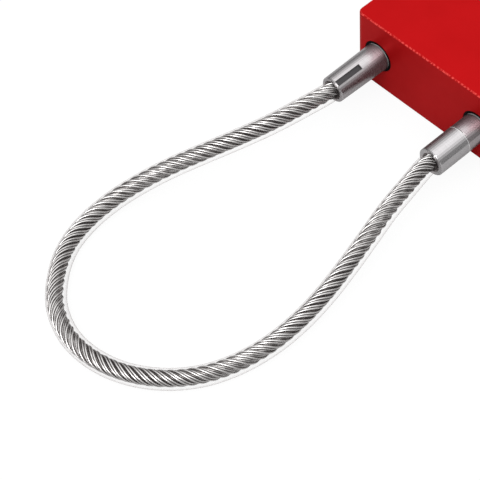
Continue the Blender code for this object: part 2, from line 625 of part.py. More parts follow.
def make_cradle():
    """Two rails joined by ribs, whose half-round seats hold the sleeves and the spindle."""
    low = CRADLE_BASE
    rail_top = low + CRADLE_RAIL_HEIGHT
    cradle = block("dial_cradle", (-CRADLE_X, CRADLE_FRONT, low),
                   (CRADLE_X, CRADLE_FRONT + CRADLE_RAIL, rail_top), BLACK)
    fuse(cradle, block("rear_rail", (-CRADLE_X, CRADLE_REAR - CRADLE_RAIL, low),
                       (CRADLE_X, CRADLE_REAR, rail_top)))
    ribs = [(x + DIAL_PITCH / 2, CRADLE_RIB) for x in DIAL_XS[:-1]]
    end = CRADLE_X - CRADLE_END / 2
    ribs += [(-end, CRADLE_END), (end, CRADLE_END)]
    for i, (x, thick) in enumerate(ribs):
        fuse(cradle, block(f"rib_{i + 1}", (x - thick / 2, CRADLE_FRONT + FIT, low),
                           (x + thick / 2, CRADLE_REAR - FIT, DIAL_Z)))
    spot = (0, DIAL_Y, DIAL_Z)
    seat = DIAL_XS[-1] + SLEEVE_LENGTH / 2 + FREE
    cut(cradle, rod("sleeve_seats", SLEEVE_RADIUS + FIT, -seat, seat, origin=spot, turn=ALONG_X))
    cut(cradle, rod("spindle_seats", SPINDLE_RADIUS + FIT, -CRADLE_X - OVERCUT, CRADLE_X + OVERCUT,
                    origin=spot, turn=ALONG_X))


def make_dial_detents():
    """A leaf behind each dial. Its bent tip clicks between the numbers."""
    foot = CRADLE_BASE + FREE
    bend = FREE - FIT
    path = [(0, foot), (0, DIAL_Z - LEAF_BEND), (-bend, DIAL_Z), (0, DIAL_Z + LEAF_TIP)]
    for i, x in enumerate(DIAL_XS):
        leaf(f"dial_detent_{i + 1}", path, LEAF_THICKNESS, LEAF_WIDTH, SPRING_STEEL, origin=(x, LEAF_Y, 0),
             turn=Euler((math.radians(90), 0, math.radians(90))))


# ---------------------------------------------------------------- latch
def make_latch_plate():
    """A flat frame: the nose's rail in front, a side bar and the slider's rail behind."""
    right = LATCH_LEFT + LATCH_THICKNESS
    front = NOSE_Y - LATCH_RAIL / 2
    rear = REAR_RAIL_Y + LATCH_REAR_RAIL / 2
    plate = block("latch_plate", (LATCH_LEFT, front, LATCH_LOW), (right, rear, LATCH_HIGH), STEEL)
    fuse(plate, block("nose_rail", (LATCH_LEFT + FIT, front, LATCH_LOW),
                      (NOSE_X, NOSE_Y + LATCH_RAIL / 2, LATCH_HIGH), corner=NOSE_CORNER))
    fuse(plate, block("slider_rail", (LATCH_LEFT + FIT, REAR_RAIL_Y - LATCH_REAR_RAIL / 2, LATCH_LOW),
                      (SLIDER_X + STEM_LENGTH / 2, rear, LATCH_HIGH)))
    fuse(plate, block("spindle_ear", (LATCH_LEFT, DIAL_Y - EAR_WIDTH / 2, LATCH_LOW),
                      (right, DIAL_Y + EAR_WIDTH / 2, DIAL_Z + EAR_WIDTH / 2)))
    hole = SMALL_SCREW_RADIUS + FIT
    head = 2 * SMALL_SCREW_RADIUS + FIT
    sink = [(0, right + OVERCUT), (hole, right + OVERCUT), (hole, LATCH_LEFT + SMALL_SCREW_SINK + FIT),
            (head, LATCH_LEFT), (head, LATCH_LEFT - OVERCUT), (0, LATCH_LEFT - OVERCUT)]
    cut(plate, turned("spindle_screw_sink", sink, origin=(0, DIAL_Y, DIAL_Z), turn=ALONG_X, sides=TINY))
    cut(plate, rod("slider_screw_hole", hole, LATCH_LOW - OVERCUT, LATCH_HIGH + OVERCUT,
                   origin=(SLIDER_X, REAR_RAIL_Y, 0), sides=TINY))


def make_thumb_slider():
    low = BODY_HEIGHT + FIT
    high = low + BUTTON_HEIGHT
    half_x, half_y = BUTTON_LENGTH / 2, BUTTON_WIDTH / 2
    spot = (SLIDER_X, REAR_RAIL_Y, BODY_HEIGHT)
    slider = block("thumb_slider", (SLIDER_X - half_x, REAR_RAIL_Y - half_y, low),
                   (SLIDER_X + half_x, REAR_RAIL_Y + half_y, high), BLACK, origin=spot,
                   corner=BUTTON_CORNER, chamfer=BUTTON_CHAMFER)
    fuse(slider, block("stem", (SLIDER_X - STEM_LENGTH / 2, REAR_RAIL_Y - STEM_WIDTH / 2, LATCH_HIGH + FIT),
                       (SLIDER_X + STEM_LENGTH / 2, REAR_RAIL_Y + STEM_WIDTH / 2, high - BUTTON_SKIN)))
    half_groove = GROOVE_WIDTH / 2
    for k in range(BUTTON_GROOVES):
        x = SLIDER_X + (k - (BUTTON_GROOVES - 1) / 2) * GROOVE_PITCH
        cut(slider, block(f"thumb_groove_{k + 1}",
                          (x - half_groove, REAR_RAIL_Y - half_y - OVERCUT, high - GRIP_DEPTH),
                          (x + half_groove, REAR_RAIL_Y + half_y + OVERCUT, high + OVERCUT)))
    end = LATCH_HIGH + THREAD_DEPTH
    cut(slider, rod("slider_thread", SMALL_SCREW_RADIUS + FIT / 2, LATCH_LOW, end,
                    origin=(SLIDER_X, REAR_RAIL_Y, 0), sides=TINY))
    screw_top = end - 2 * FIT
    head_top = LATCH_LOW - FIT
    head_low = head_top - SMALL_HEAD_HEIGHT
    screw = [(0, screw_top), (SMALL_SCREW_RADIUS, screw_top), (SMALL_SCREW_RADIUS, head_top),
             (SMALL_SCREW_HEAD, head_top), (SMALL_SCREW_HEAD, head_low), (0, head_low)]
    turned("slider_screw", screw, STEEL, origin=(SLIDER_X, REAR_RAIL_Y, 0), sides=TINY)


def make_latch_detent():
    """A bowed leaf between the stop rib and the latch's rear rail."""
    face = STOP_RIB_Y - STOP_RIB_THICKNESS / 2 - FIT - LEAF_THICKNESS / 2
    near = REAR_RAIL_Y + LATCH_REAR_RAIL / 2 + FREE + LEAF_THICKNESS / 2
    middle = (STOP_RIB_LEFT + SLIDER_X) / 2
    path = [(-BOW_REACH, near), (-BOW_FLAT, face), (BOW_FLAT, face), (BOW_REACH, near)]
    leaf("latch_detent", path, LEAF_THICKNESS, LATCH_THICKNESS, SPRING_STEEL,
         origin=(middle, 0, LEG_HEIGHT))


# ---------------------------------------------------------------- key cylinder and reset
def make_key_cylinder():
    spot = (KEY_X, 0, KEY_Z)
    face = REAR_Y - FIT
    washer("key_barrel", BARREL_RADIUS, KEY_PLUG_RADIUS + RUNNING, BARREL_INNER, face, BRASS, origin=spot,
           turn=ALONG_Y, sides=FINE)
    tail_end = BARREL_INNER - CAM_THICKNESS - 4 * FREE
    clip_rear = BARREL_INNER - CAM_THICKNESS - 1.5 * FREE
    clip_front = clip_rear - FREE
    neck = KEY_TAIL_RADIUS - FREE
    profile = [(0, face), (KEY_PLUG_RADIUS - KEY_EDGE, face), (KEY_PLUG_RADIUS, face - KEY_EDGE),
               (KEY_PLUG_RADIUS, BARREL_INNER), (KEY_TAIL_RADIUS, BARREL_INNER),
               (KEY_TAIL_RADIUS, clip_rear), (neck, clip_rear), (neck, clip_front),
               (KEY_TAIL_RADIUS, clip_front), (KEY_TAIL_RADIUS, tail_end), (0, tail_end)]
    plug = turned("key_plug", profile, STEEL, origin=spot, turn=ALONG_Y, sides=FINE)
    cut(plug, block("keyway", (KEY_X - KEYWAY_WIDTH / 2, face - KEYWAY_DEPTH, KEY_Z - KEYWAY_HEIGHT / 2),
                    (KEY_X + KEYWAY_WIDTH / 2, face + OVERCUT, KEY_Z + KEYWAY_HEIGHT / 2)))
    cam_rear = BARREL_INNER - FREE / 2
    cam_front = cam_rear - CAM_THICKNESS
    cam = rod("key_cam", CAM_HUB, cam_front, cam_rear, STEEL, origin=spot, turn=ALONG_Y)
    fuse(cam, block("cam_lever", (KEY_X - CAM_REACH, cam_front, KEY_Z - CAM_WIDTH / 2),
                    (KEY_X, cam_rear, KEY_Z + CAM_WIDTH / 2)))
    cut(cam, rod("cam_hole", KEY_TAIL_RADIUS + FIT / 2, cam_front - OVERCUT, cam_rear + OVERCUT,
                 origin=spot, turn=ALONG_Y))
    clip = washer("cam_clip", KEY_TAIL_RADIUS + CLIP_RIM, neck + FIT / 2, clip_front + FIT / 2,
                  clip_rear - FIT / 2, SPRING_STEEL, origin=spot, turn=ALONG_Y)
    cut(clip, block("clip_mouth", (KEY_X - CLIP_MOUTH / 2, clip_front - OVERCUT, KEY_Z),
                    (KEY_X + CLIP_MOUTH / 2, clip_rear + OVERCUT, KEY_Z + BARREL_RADIUS)))


def make_reset():
    spot = (RESET_X, RESET_Y, 0)
    flange_low = INNER_FLOOR + FIT
    flange_high = flange_low + RESET_FLANGE_HEIGHT
    stem_top = flange_high + SPRING_HEIGHT - RESET_TRAVEL - FREE
    profile = [(0, stem_top), (RESET_STEM, stem_top), (RESET_STEM, flange_high),
               (RESET_FLANGE, flange_high), (RESET_FLANGE, flange_low), (RESET_RADIUS, flange_low),
               (RESET_RADIUS, 2 * FIT), (0, 2 * FIT)]
    turned("reset_button", profile, BRASS, origin=spot)
    low = flange_high + SPRING_WIRE + FIT
    rise = INNER_FLOOR + RESET_TRAVEL + SPRING_HEIGHT - SPRING_WIRE - low
    steps = SPRING_TURNS * SPRING_STEPS
    points = []
    for k in range(steps + 1):
        angle = 2 * math.pi * k / SPRING_STEPS
        height = low + rise * k / steps
        points.append((SPRING_RADIUS * math.cos(angle), SPRING_RADIUS * math.sin(angle), height))
    tube("reset_spring", points, SPRING_WIRE, SPRING_STEEL, origin=spot, resolution=1)


clear_scene()
LOCK = collection("cable_luggage_lock")
CUTTERS = collection("cutters")
RED = look("red paint", (0.55, 0.012, 0.012), 0.38, 0.3)
DARK_RED = look("red base", (0.5, 0.012, 0.012), 0.45, 0.3)
STEEL = look("stainless steel", (0.62, 0.6, 0.6), 0.25, 1.0)
SPRING_STEEL = look("spring steel", (0.45, 0.45, 0.47), 0.3, 1.0)
BRASS = look("brass", (0.7, 0.5, 0.2), 0.3, 1.0)
BLACK = look("black plastic", (0.012, 0.012, 0.012), 0.5, 0.0)
DIAL = look("dial", (0.02, 0.02, 0.022), 0.4, 0.0)
CLEAR = look("coated rope", (0.6, 0.6, 0.6), 0.3, 0.6)

make_body_shell()
make_base_plate()
make_cover_screws()
make_bushes()
make_heel_ferrule()
make_toe()
make_cable()
make_dials()
make_spindle()
make_cradle()
make_dial_detents()
make_latch_plate()
make_thumb_slider()
make_latch_detent()
make_key_cylinder()
make_reset()
shade()
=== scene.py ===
import json
import math

import bmesh
import bpy
import numpy as np
from mathutils import Matrix, Vector


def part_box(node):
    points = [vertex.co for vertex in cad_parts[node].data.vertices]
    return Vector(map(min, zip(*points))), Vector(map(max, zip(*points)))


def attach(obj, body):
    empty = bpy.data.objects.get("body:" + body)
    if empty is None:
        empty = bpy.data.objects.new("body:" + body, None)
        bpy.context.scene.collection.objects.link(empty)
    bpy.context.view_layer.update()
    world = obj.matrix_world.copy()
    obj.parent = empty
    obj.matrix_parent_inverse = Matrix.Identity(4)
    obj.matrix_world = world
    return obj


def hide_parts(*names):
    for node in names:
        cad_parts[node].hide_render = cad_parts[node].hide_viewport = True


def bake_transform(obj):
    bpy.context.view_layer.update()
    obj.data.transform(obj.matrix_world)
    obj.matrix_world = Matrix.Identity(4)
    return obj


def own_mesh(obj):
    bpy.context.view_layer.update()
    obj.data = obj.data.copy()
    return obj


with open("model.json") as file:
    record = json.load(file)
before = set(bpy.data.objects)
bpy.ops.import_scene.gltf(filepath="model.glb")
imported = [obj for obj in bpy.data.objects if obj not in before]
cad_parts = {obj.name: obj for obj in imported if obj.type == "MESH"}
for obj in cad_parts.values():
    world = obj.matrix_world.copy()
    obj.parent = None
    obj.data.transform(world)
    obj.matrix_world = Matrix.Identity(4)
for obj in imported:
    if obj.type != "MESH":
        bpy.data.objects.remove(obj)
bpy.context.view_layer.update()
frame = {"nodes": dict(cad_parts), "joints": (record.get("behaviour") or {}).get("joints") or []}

MM = 0.001

# ------------------------------------------------------------------ sizes of the pieces built here
# the cable
COAT_RADIUS = 1.6 * MM
COAT_SIDES = 32
ROPE_RADIUS = 1.27 * MM         # outside of the steel rope, inside the coat
CORE_RADIUS = 0.42 * MM
CORE_SIDES = 10
STRANDS = 6
STRAND_LAY = 9.0 * MM           # length of rope for one turn of a strand, right-hand
WIRES = 5                       # round each strand's middle wire
WIRE_POINTS = 6                 # points of a strand's outline on each of its wires
WIRE_TWIST = -40.0              # turn of the wires in a strand, radians per metre
ROPE_SHIFT = Vector((-0.17, -0.05, 0.10)) * MM    # the rope isn't quite central in its coat
SHIFT_START = 4 * MM            # length at each end over which the rope comes off the centre
RING_STEP = 0.33 * MM           # between the sections of a strand
KNOT_STEPS = 40                 # points read from the curve between two points of its route
SMOOTH_PASSES = 6               # take out the small kinks at the route's points
CABLE_SEAT = 1.5 * MM           # cable inside each mouth
CABLE_LEAD = 1.2 * MM           # straight cable in front of it

# the ferrules' finish, with painted shade and painted highlight lines
SLOT_FLOOR = 2.03 * MM          # from the heel's axis; the milled slot's floor lies inside it
BORE_RADIUS = 1.68 * MM         # from the toe's axis; the bore's wall lies inside it
FACE_DEPTH = 0.02 * MM          # the dark painted shade inside starts this far behind the mouth's face
RIM_WIDTH = 0.15 * MM           # of the painted highlight lines along the edges
MARKS_ALONG, MARKS_ROUND = 9000, 260    # turning marks in a metre, along the leg and round it

# the other finishes, and where the red's painted glint and painted sheen go
TURNED_ALONG, TURNED_ROUND = 14000, 90  # the same on the pieces inside
TURNING_DEPTH = 0.008 * MM
GRAIN_DEPTH = 0.02 * MM
CHAMFER_SLOPE, SLOPE_MARGIN = 0.7, 0.2  # up part of the normal of a chamfered face, which gets the painted glint, and how far it may be off
PALE_LOW, PALE_HIGH = 8 * MM, 12 * MM   # heights between which the red's painted reflection turns from painted shade to a pale painted sheen

# the reset spring
SPRING_WIRE = 0.18 * MM         # radius of its wire
SPRING_SIDES = 12
SPRING_TURNS = 5
SPRING_STEPS = 24               # points in a turn

# the dials' numbers and the arrows beside them
DIGITS = 10
DIGIT_SIZE = 2.9 * MM
DIGIT_RISE = 0.03 * MM
DIGIT_WEIGHT = 0.05 * MM        # added all round the thin font
DIGIT_SINK = 0.005 * MM
MARK_SIZE = 1.1 * MM
MARK_GAP = 1.0 * MM             # from the dial's end to the arrow's tip
MARK_RISE = 0.02 * MM
MARK_SINK = 0.005 * MM

# the stage
CAMERA_SPOT = Vector((0.14869, -0.18702, 0.24908))
CAMERA_AZIMUTH, CAMERA_ELEVATION, CAMERA_ROLL = (math.radians(turn) for turn in (48.43, 50.58, -3.0))
CAMERA_LENS = 159.67
CAMERA_SHIFT = -0.0833
FLOOR_REACH = 2.5
SKY_GREYS = [(0.0, 0.06), (0.38, 0.21), (0.62, 0.45), (0.88, 1.0)]     # (height, brightness)
SKY_STRENGTH = 1.25
LIGHT_SPOT = Vector((0.20, -0.50, 0.50))
LIGHT_AIM = Vector((-0.005, -0.05, 0))
LIGHT_SIZE = 0.40
LIGHT_POWER = 2.3

# Where the cable leaves the heel and toe ferrules, in millimetres, and the loop's centreline between
# them: across the body, in front of the mouths and up.
HEEL_MOUTH = (-10.4, -34.0, 6.65)
TOE_MOUTH = (10.4, -34.0, 6.65)
CABLE_ROUTE = [
    (-11.2, 5.4, 6.43), (-12.3, 10.8, 6.23), (-14.0, 15.9, 5.68), (-16.1, 21.0, 4.88),
    (-18.2, 25.9, 3.95), (-19.9, 31.0, 3.02), (-20.9, 36.3, 2.22), (-20.7, 41.8, 1.76),
    (-19.1, 46.9, 1.65), (-15.9, 51.4, 1.65), (-11.8, 54.9, 1.65), (-6.5, 56.9, 1.65),
    (-1.0, 56.9, 1.65), (4.2, 55.2, 1.65), (8.7, 52.0, 1.65), (12.0, 47.8, 1.66),
    (14.1, 42.7, 1.74), (15.2, 37.3, 2.1), (15.5, 31.9, 2.84), (15.2, 26.6, 3.85),
    (14.4, 21.4, 4.81), (13.3, 16.0, 5.67), (12.1, 10.8, 6.23), (11.1, 5.4, 6.43),
]


# ------------------------------------------------------------------ camera
def make_camera():
    azimuth, elevation, roll = CAMERA_AZIMUTH, CAMERA_ELEVATION, CAMERA_ROLL
    out = Vector((math.sin(azimuth) * math.cos(elevation), -math.cos(azimuth) * math.cos(elevation),
                  math.sin(elevation)))
    right = Vector((math.cos(azimuth), math.sin(azimuth), 0))
    up = out.cross(right)
    right, up = (right * math.cos(roll) + up * math.sin(roll), up * math.cos(roll) - right * math.sin(roll))
    data = bpy.data.cameras.new("camera")
    data.sensor_width = 36
    data.lens = CAMERA_LENS
    data.shift_x = CAMERA_SHIFT
    data.shift_y = CAMERA_SHIFT
    data.clip_start = 0.01
    data.clip_end = 20
    camera = bpy.data.objects.new("camera", data)
    camera.matrix_world = Matrix.Translation(CAMERA_SPOT) @ Matrix((right, up, out)).transposed().to_4x4()
    bpy.context.scene.collection.objects.link(camera)
    bpy.context.scene.camera = camera


# ------------------------------------------------------------------ mesh helpers
def add_mesh(name, verts, faces, material):
    """A new smooth object in the scene, made of these vertices and faces."""
    mesh = bpy.data.meshes.new(name)
    mesh.from_pydata([tuple(v) for v in verts], [], faces)
    mesh.validate()
    mesh.shade_smooth()
    mesh.materials.append(material)
    thing = bpy.data.objects.new(name, mesh)
    bpy.context.scene.collection.objects.link(thing)
    return thing


def smooth_route(route, spacing):
    """Points on a smooth curve through the route, one spacing apart."""
    knots = [Vector(point) * MM for point in route]
    ends = [2 * knots[0] - knots[1]] + knots + [2 * knots[-1] - knots[-2]]
    fine = []
    for before, start, stop, after in zip(ends, ends[1:], ends[2:], ends[3:]):
        for k in range(KNOT_STEPS):
            t = k / KNOT_STEPS
            fine.append(0.5 * (2 * start + (stop - before) * t
                               + (2 * before - 5 * start + 4 * stop - after) * t ** 2
                               + (3 * start - before - 3 * stop + after) * t ** 3))
    fine.append(knots[-1])
    fine = np.array([list(p) for p in fine])
    run = np.concatenate([[0], np.cumsum(np.linalg.norm(np.diff(fine, axis=0), axis=1))])
    count = round(run[-1] / spacing)
    at = np.linspace(0, run[-1], count + 1)
    points = np.stack([np.interp(at, run, fine[:, i]) for i in range(3)], axis=1)
    for _ in range(SMOOTH_PASSES):
        points[1:-1] = 0.25 * points[:-2] + 0.5 * points[1:-1] + 0.25 * points[2:]
    return points


def unit(v):
    """The same directions with length 1."""
    return v / np.linalg.norm(v, axis=-1, keepdims=True)


def carried_frames(points):
    """A direction across the path at each point, carried along without twist, and the one square to it."""
    tangent = unit(np.gradient(points, axis=0))
    across = np.zeros_like(points)
    across[0] = unit(np.cross(tangent[0], [0, 0, 1.0]))
    for i in range(1, len(points)):
        v = across[i - 1] - tangent[i] * np.dot(across[i - 1], tangent[i])
        across[i] = unit(v)
    return across, np.cross(tangent, across)


def circle(radius, sides):
    """A round section for sweep."""
    angle = np.linspace(0, 2 * math.pi, sides, endpoint=False)
    outline = np.stack([np.cos(angle), np.sin(angle)], axis=1) * radius
    return lambda ring: outline


def sweep(name, centre, first, second, outline, material, shade=None):
    """A tube whose section is outline(ring), pairs along first and second. Its ends are closed by fans.
    shade(ring) gives each of the section's points a number, its painted shade, which is kept in the mesh as a
    point attribute named after the crests."""
    rings = len(centre)
    section = np.stack([outline(i) for i in range(rings)])
    sides = section.shape[1]
    verts = (centre[:, None] + section[..., :1] * first[:, None] + section[..., 1:] * second[:, None])
    verts = np.concatenate([verts.reshape(-1, 3), centre[:1], centre[-1:]])
    faces = []
    for i in range(rings - 1):
        for j in range(sides):
            k = (j + 1) % sides
            faces.append((i * sides + j, i * sides + k, (i + 1) * sides + k, (i + 1) * sides + j))
    start, stop, last = rings * sides, rings * sides + 1, (rings - 1) * sides
    for j in range(sides):
        k = (j + 1) % sides
        faces.append((start, k, j))
        faces.append((stop, last + j, last + k))
    thing = add_mesh(name, verts, faces, material)
    if shade is not None:
        values = np.concatenate([np.concatenate([shade(i) for i in range(rings)]), [0, 0]])
        crest_shade = thing.data.attributes.new("crest_shade", "FLOAT", "POINT")
        crest_shade.data.foreach_set("value", values.astype(np.float32))
    return thing


# ------------------------------------------------------------------ materials
class Nodes:
    """A material with a Principled shader and short calls for the nodes that feed it."""

    def __init__(self, name):
        self.material = bpy.data.materials.new(name)
        self.material.use_nodes = True
        self.tree = self.material.node_tree
        self.shader = self.tree.nodes["Principled BSDF"]
        self.coords = self.tree.nodes.new("ShaderNodeTexCoord").outputs["Object"]

    def set(self, **values):
        """Sets the shader's own values. An input's name has _ for its spaces, here and below."""
        for name, value in values.items():
            socket = self.shader.inputs[name.replace("_", " ")]
            if isinstance(value, tuple):
                value = (*value, 1)
            socket.default_value = value
        return self

    def node(self, kind, **inputs):
        made = self.tree.nodes.new(kind)
        for name, value in inputs.items():
            self.feed(made.inputs[name.replace("_", " ")], value)
        return made

    def feed(self, socket, value):
        if isinstance(value, bpy.types.NodeSocket):
            self.tree.links.new(value, socket)
        elif isinstance(value, tuple) and len(value) == 3 and socket.type == "RGBA":
            socket.default_value = (*value, 1)
        else:
            socket.default_value = value

    def stretched(self, scale):
        """Object coordinates with each axis scaled."""
        mapping = self.node("ShaderNodeMapping", Vector=self.coords)
        mapping.inputs["Scale"].default_value = scale
        return mapping.outputs["Vector"]

    def noise(self, scale, detail=2.0, rough=0.5, vector=None):
        """Cloudy values, with about scale clouds in a metre."""
        made = self.node("ShaderNodeTexNoise", Vector=self.coords if vector is None else vector,
                         Scale=scale, Detail=detail, Roughness=rough)
        return made.outputs["Fac"]

    def ramp(self, value, *stops):
        """A colour ramp. Each stop is (place, colour), with a number as a grey."""
        made = self.node("ShaderNodeValToRGB", Fac=value)
        spots = made.color_ramp.elements
        while len(spots) < len(stops):
            spots.new(0.5)
        for spot, (place, colour) in zip(spots, stops):
            spot.position = place
            spot.color = (*colour, 1) if isinstance(colour, tuple) else (colour, colour, colour, 1)
        return made.outputs["Color"]

    def range(self, value, low, high, start=0.0, stop=1.0):
        """low where value is start, high where it is stop, and evenly between."""
        made = self.node("ShaderNodeMapRange", Value=value)
        for name, number in (("From Min", start), ("From Max", stop), ("To Min", low), ("To Max", high)):
            made.inputs[name].default_value = number
        return made.outputs["Result"]

    def spread(self, noise, low, high, margin=0.3):
        """low to high over the middle of the noise's values, with margin left out at each end."""
        return self.range(noise, low, high, margin, 1 - margin)

    def math(self, operation, first, second=0.0):
        made = self.tree.nodes.new("ShaderNodeMath")
        made.operation = operation
        self.feed(made.inputs[0], first)
        self.feed(made.inputs[1], second)
        return made.outputs[0]

    def mix(self, share, first, second):
        """first where share is 0 and second where it is 1."""
        made = self.tree.nodes.new("ShaderNodeMix")
        made.data_type = "RGBA"
        self.feed(made.inputs[0], share)
        self.feed(made.inputs[6], first)
        self.feed(made.inputs[7], second)
        return made.outputs[2]

    def bounced(self):
        """1 for light on its way between surfaces and 0 for what is looked at directly."""
        path = self.tree.nodes.new("ShaderNodeLightPath")
        return self.math("MAXIMUM", path.outputs["Is Glossy Ray"], path.outputs["Is Diffuse Ray"])

    def bump(self, height, strength, distance):
        made = self.node("ShaderNodeBump", Height=height, Strength=strength, Distance=distance)
        return made.outputs["Normal"]

    def link(self, **sources):
        """Feeds the shader's inputs from other nodes."""
        for name, source in sources.items():
            self.tree.links.new(source, self.shader.inputs[name.replace("_", " ")])
        return self


def red_paint(name, base, shade):
    """Satin red, clouded from base to shade, with a painted glint on the chamfered edges: bright specks stand
    in for the highlight along them. Where other pieces mirror it or are lit by it, its colour is a painted
    reflection: painted shade below, and a pale painted sheen near the top."""
    m = Nodes(name).set(Metallic=0.45, Specular_IOR_Level=0.03)
    cloud = m.noise(180, 3)
    flake = m.noise(5200, 1)
    colour = m.mix(m.spread(cloud, 0, 1), base, shade)
    geometry = m.tree.nodes.new("ShaderNodeNewGeometry")
    parts = m.node("ShaderNodeSeparateXYZ", Vector=geometry.outputs["True Normal"])
    slope = m.math("ABSOLUTE", m.math("SUBTRACT", parts.outputs["Z"], CHAMFER_SLOPE))
    edge = m.math("LESS_THAN", slope, SLOPE_MARGIN)
    # Painted glint: bright red specks on the chamfered faces stand in for the highlight along the edge.
    glint = m.ramp(m.noise(2600, 2, 0.6), (0.42, 0.0), (0.60, 1.0))
    colour = m.mix(m.math("MULTIPLY", edge, glint), colour, (1.0, 0.10, 0.09))
    # Painted reflection: seen by bounced light, the red is dark below, a painted shade, and pale near the
    # top, a painted sheen.
    place = m.node("ShaderNodeSeparateXYZ", Vector=m.coords)
    near_top = m.range(place.outputs["Z"], 0.0, 1.0, PALE_LOW, PALE_HIGH)
    painted_reflection = m.mix(near_top, (0.17, 0.07, 0.075), (0.50, 0.36, 0.38))
    colour = m.mix(m.bounced(), colour, painted_reflection)
    rough = m.range(m.noise(700, 3), 0.36, 0.46)
    height = m.math("ADD", m.noise(1500, 3), m.math("MULTIPLY", flake, 0.4))
    return m.link(Base_Color=colour, Roughness=rough, Normal=m.bump(height, 0.25, GRAIN_DEPTH)).material


def turned_steel(name, tint, rough, along=(0, 1, 0), depth=0.35):
    """Steel with fine marks round the axis that along names."""
    m = Nodes(name).set(Metallic=1.0, Base_Color=tint)
    scale = tuple(TURNED_ALONG * part + TURNED_ROUND * (1 - part) for part in along)
    marks = m.noise(1, 4, 0.7, m.stretched(scale))
    cloud = m.noise(350, 3)
    roughness = m.math("ADD", m.spread(cloud, rough - 0.04, rough + 0.05),
                       m.spread(marks, -0.04, 0.04))
    return m.link(Roughness=roughness, Normal=m.bump(marks, depth, TURNING_DEPTH)).material


def ferrule_steel(name, tint, rough, axis, shell, rim):
    """Satin steel with fine marks round the leg. axis is the leg's (x, z), shell is the radius inside which
    the metal behind the mouth is rougher and painted dark, a painted shade in the recess, and rim is the
    stretch along Y where a painted highlight line runs along an edge. What mirrors the ferrule, or is lit by
    it, gets a darker steel, a painted shade."""
    m = Nodes(name)
    marks = m.noise(1, 4, 0.7, m.stretched((MARKS_ROUND, MARKS_ALONG, MARKS_ROUND)))
    cloud = m.noise(420, 3)
    parts = m.node("ShaderNodeSeparateXYZ", Vector=m.coords)
    across = m.math("SUBTRACT", parts.outputs["X"], axis[0])
    up = m.math("SUBTRACT", parts.outputs["Z"], axis[1])
    reach = m.math("SQRT", m.math("ADD", m.math("MULTIPLY", across, across), m.math("MULTIPLY", up, up)))
    behind = m.math("GREATER_THAN", parts.outputs["Y"], HEEL_MOUTH[1] * MM + FACE_DEPTH)
    shaded_recess = m.math("MULTIPLY", m.math("LESS_THAN", reach, shell), behind)
    middle, half = sum(rim) / 2, (rim[1] - rim[0]) / 2
    away = m.math("ABSOLUTE", m.math("SUBTRACT", parts.outputs["Y"], middle))
    # Painted highlight: a near-white, less metallic line along the rim stands in for the light caught by the
    # edge.
    painted_rim_highlight = m.range(away, 1.0, 0.0, half * 0.6, half)
    bright = m.mix(m.spread(marks, 0, 1, 0.35), tint, tuple(c * 0.93 for c in tint))
    bright = m.mix(painted_rim_highlight, bright, (0.92, 0.91, 0.91))
    # Painted shade: the slot's floor and the bore's wall get a dark steel colour.
    colour = m.mix(shaded_recess, bright, (0.125, 0.12, 0.123))
    # Painted shade: to light bounced off the ferrule, or seen in other pieces' reflections, it is dark steel.
    colour = m.mix(m.bounced(), colour, (0.16, 0.15, 0.15))
    smooth = m.math("ADD", m.spread(cloud, rough - 0.03, rough + 0.03),
                    m.spread(marks, -0.03, 0.03))
    roughness = m.math("ADD", smooth, m.math("MULTIPLY", shaded_recess, 0.4))
    return m.link(Base_Color=colour, Roughness=roughness, Metallic=m.range(painted_rim_highlight, 1.0, 0.5),
                  Normal=m.bump(marks, 0.15, TURNING_DEPTH)).material


def rope_steel():
    """Drawn wire, with painted highlights along the outward crests and painted shade in the grooves, clouded
    by stains.
    """
    m = Nodes("rope_steel").set(Metallic=1.0)
    crest_shade = m.node("ShaderNodeAttribute")
    crest_shade.attribute_name = "crest_shade"
    stain = m.noise(900, 4, 0.6)
    # Painted shade and highlight, varied by stains: the ramp runs from near black in the grooves to near
    # white on the outward crests.
    height = m.math("ADD", crest_shade.outputs["Fac"], m.spread(stain, -0.15, 0.15))
    colour = m.ramp(height, (0.12, (0.022, 0.019, 0.018)), (0.42, (0.19, 0.18, 0.175)),
                    (0.80, (0.90, 0.885, 0.875)))
    return m.link(Base_Color=colour, Roughness=m.spread(stain, 0.32, 0.20)).material


def clear_coat():
    """A thin clear skin: it shows the rope, with a soft gloss and a milky pink edge."""
    m = Nodes("clear_coat").set(Base_Color=(0.84, 0.73, 0.72), Roughness=0.25, Specular_IOR_Level=0.2)
    edge = m.node("ShaderNodeLayerWeight", Blend=0.25).outputs["Facing"]
    haze = m.noise(500, 2)
    skin = m.ramp(edge, (0.22, 0.015), (0.45, 0.17), (0.75, 0.60))
    return m.link(Alpha=m.math("ADD", skin, m.range(haze, 0.0, 0.03))).material


def plastic(name, colour, rough, grain=3000, depth=0.3, level=0.25):
    """Moulded plastic with a fine grain, clouded from colour to a paler one. level is its specular level."""
    m = Nodes(name).set(Specular_IOR_Level=level)
    fine = m.noise(grain, 3)
    shade = tuple(c * 1.8 for c in colour)
    return m.link(Base_Color=m.mix(m.spread(m.noise(400, 3), 0, 1, 0.35), colour, shade),
                  Roughness=m.spread(fine, rough - 0.06, rough + 0.08),
                  Normal=m.bump(fine, depth, GRAIN_DEPTH)).material


def paint(name, colour):
    """Flat paint, a little uneven."""
    m = Nodes(name).set(Specular_IOR_Level=0.3)
    fine = m.noise(2500, 3)
    return m.link(Base_Color=m.mix(m.spread(fine, 0, 1, 0.35), colour, tuple(c * 0.88 for c in colour)),
                  Roughness=m.range(fine, 0.45, 0.6)).material


